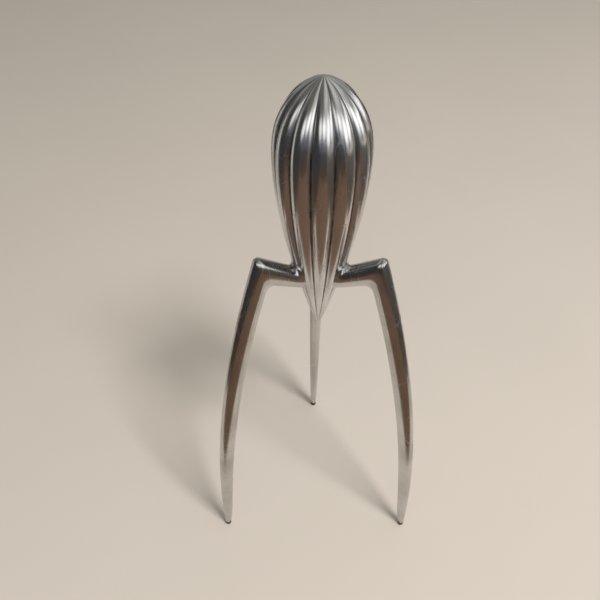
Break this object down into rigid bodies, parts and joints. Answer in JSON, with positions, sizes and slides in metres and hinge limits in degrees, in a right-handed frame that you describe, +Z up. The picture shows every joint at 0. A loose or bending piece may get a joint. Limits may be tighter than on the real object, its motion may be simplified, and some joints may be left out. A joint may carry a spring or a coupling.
{
  "type": "citrus juicer",
  "caption": "Free-standing tripod citrus juicer: a fluted drop-shaped head on kneed, bowed legs. Fruit is pressed on the head by hand and juice drips into a glass below.",
  "frame": {"origin": "on the table, under the head's axis, midway between the feet", "axes": "+Z up along the head's axis to the crown, +Y towards the rear leg, +X to the right in the picture"},
  "size_m": [0.1138, 0.0993, 0.29],
  "materials": {
    "polished_aluminium": "mirror-polished casting with fine wear",
    "dowel_steel": "ground",
    "foot_plastic": "matt"
  },
  "bodies": {
    "root": {"head": "polished_aluminium", "left_leg": "polished_aluminium", "right_leg": "polished_aluminium", "rear_leg": "polished_aluminium", "left_leg_pin": "dowel_steel", "right_leg_pin": "dowel_steel", "rear_leg_pin": "dowel_steel", "left_foot": "foot_plastic", "right_foot": "foot_plastic", "rear_foot": "foot_plastic"}
  },
  "joints": []
}
